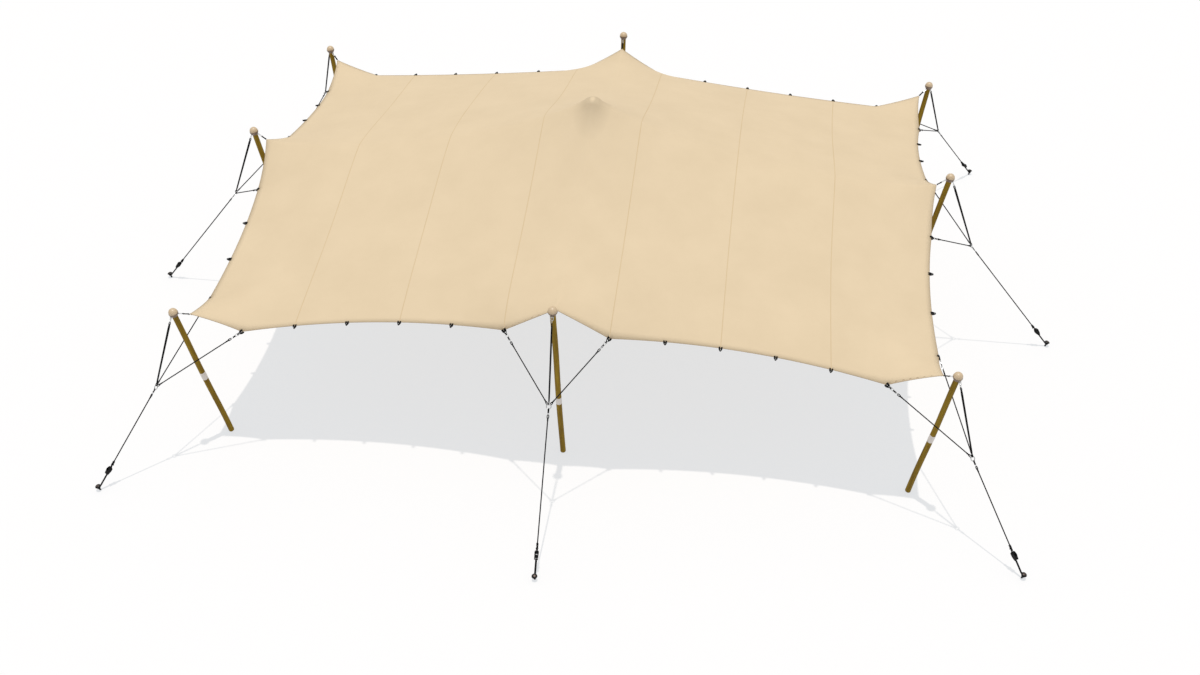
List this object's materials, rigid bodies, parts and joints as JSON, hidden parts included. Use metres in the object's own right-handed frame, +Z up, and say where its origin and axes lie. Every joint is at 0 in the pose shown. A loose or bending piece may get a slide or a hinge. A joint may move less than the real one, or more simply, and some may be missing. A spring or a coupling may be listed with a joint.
{
  "type": "stretch tent",
  "caption": "Open stretch tent: a sewn stretch canopy raised to one peak, on leaning edge poles with taut stays, ratchet tensioners and ground pegs.",
  "frame": {"origin": "on the ground under the peak, at the middle pole's foot", "axes": "+X to the right along the long way, +Y to the back, +Z up"},
  "size_m": [14.6824, 11.8844, 3.967],
  "materials": {
    "canopy": "sand coloured stretch fabric, matt",
    "pole": "debarked and varnished round timber",
    "head": "pale turned wood",
    "webbing": "black polyester webbing and rope with steel fittings",
    "fittings": "bright galvanised steel rings, links and shackles",
    "collar": "dull brown grey turned metal cup under each ball",
    "sleeve": "off-white plastic sleeve round each edge pole",
    "ratchet": "black coated steel",
    "peg": "brown grey forged steel"
  },
  "bodies": {
    "tent": {"canopy_panel_1": "canopy", "canopy_panel_2": "canopy", "canopy_panel_3": "canopy", "canopy_panel_4": "canopy", "canopy_panel_5": "canopy", "canopy_panel_6": "canopy", "canopy_panel_7": "canopy", "centre_pole": "pole", "centre_head": "head", "pole_front_left": "pole", "head_front_left": "head", "guy_front_left": "webbing", "peg_front_left": "peg", "pole_front_centre": "pole", "head_front_centre": "head", "guy_front_centre": "webbing", "peg_front_centre": "peg", "pole_front_right": "pole", "head_front_right": "head", "guy_front_right": "webbing", "peg_front_right": "peg", "pole_right_middle": "pole", "head_right_middle": "head", "guy_right_middle": "webbing", "peg_right_middle": "peg", "pole_back_right": "pole", "head_back_right": "head", "guy_back_right": "webbing", "peg_back_right": "peg", "pole_back_centre": "pole", "head_back_centre": "head", "guy_back_centre": "webbing", "peg_back_centre": "peg", "pole_back_left": "pole", "head_back_left": "head", "guy_back_left": "webbing", "peg_back_left": "peg", "pole_left_middle": "pole", "head_left_middle": "head", "guy_left_middle": "webbing", "peg_left_middle": "peg"},
    "lever_front_left": {"ratchet_lever_front_left": "ratchet"},
    "lever_front_centre": {"ratchet_lever_front_centre": "ratchet"},
    "lever_front_right": {"ratchet_lever_front_right": "ratchet"},
    "lever_right_middle": {"ratchet_lever_right_middle": "ratchet"},
    "lever_back_right": {"ratchet_lever_back_right": "ratchet"},
    "lever_back_centre": {"ratchet_lever_back_centre": "ratchet"},
    "lever_back_left": {"ratchet_lever_back_left": "ratchet"},
    "lever_left_middle": {"ratchet_lever_left_middle": "ratchet"}
  },
  "joints": [
    {"name": "lever_front_left", "type": "hinge", "parent": "tent", "child": "lever_front_left", "pos_m": [-6.28236, -4.88018, 0.29215], "axis": [-0.7076, 0.7067, 0], "range_deg": [0, 125]},
    {"name": "lever_front_centre", "type": "hinge", "parent": "tent", "child": "lever_front_centre", "pos_m": [0, -5.6808, 0.29742], "axis": [-1, 0, 0], "range_deg": [0, 125]},
    {"name": "lever_front_right", "type": "hinge", "parent": "tent", "child": "lever_front_right", "pos_m": [6.28236, -4.88018, 0.29215], "axis": [-0.7076, -0.7067, 0], "range_deg": [0, 125]},
    {"name": "lever_right_middle", "type": "hinge", "parent": "tent", "child": "lever_right_middle", "pos_m": [7.0828, 0, 0.2999], "axis": [0, -1, 0], "range_deg": [0, 125]},
    {"name": "lever_back_right", "type": "hinge", "parent": "tent", "child": "lever_back_right", "pos_m": [6.28236, 4.88018, 0.29215], "axis": [0.7076, -0.7067, 0], "range_deg": [0, 125]},
    {"name": "lever_back_centre", "type": "hinge", "parent": "tent", "child": "lever_back_centre", "pos_m": [0, 5.6808, 0.29742], "axis": [1, 0, 0], "range_deg": [0, 125]},
    {"name": "lever_back_left", "type": "hinge", "parent": "tent", "child": "lever_back_left", "pos_m": [-6.28236, 4.88018, 0.29215], "axis": [0.7076, 0.7067, 0], "range_deg": [0, 125]},
    {"name": "lever_left_middle", "type": "hinge", "parent": "tent", "child": "lever_left_middle", "pos_m": [-7.0828, 0, 0.2999], "axis": [0, 1, 0], "range_deg": [0, 125]}
  ]
}
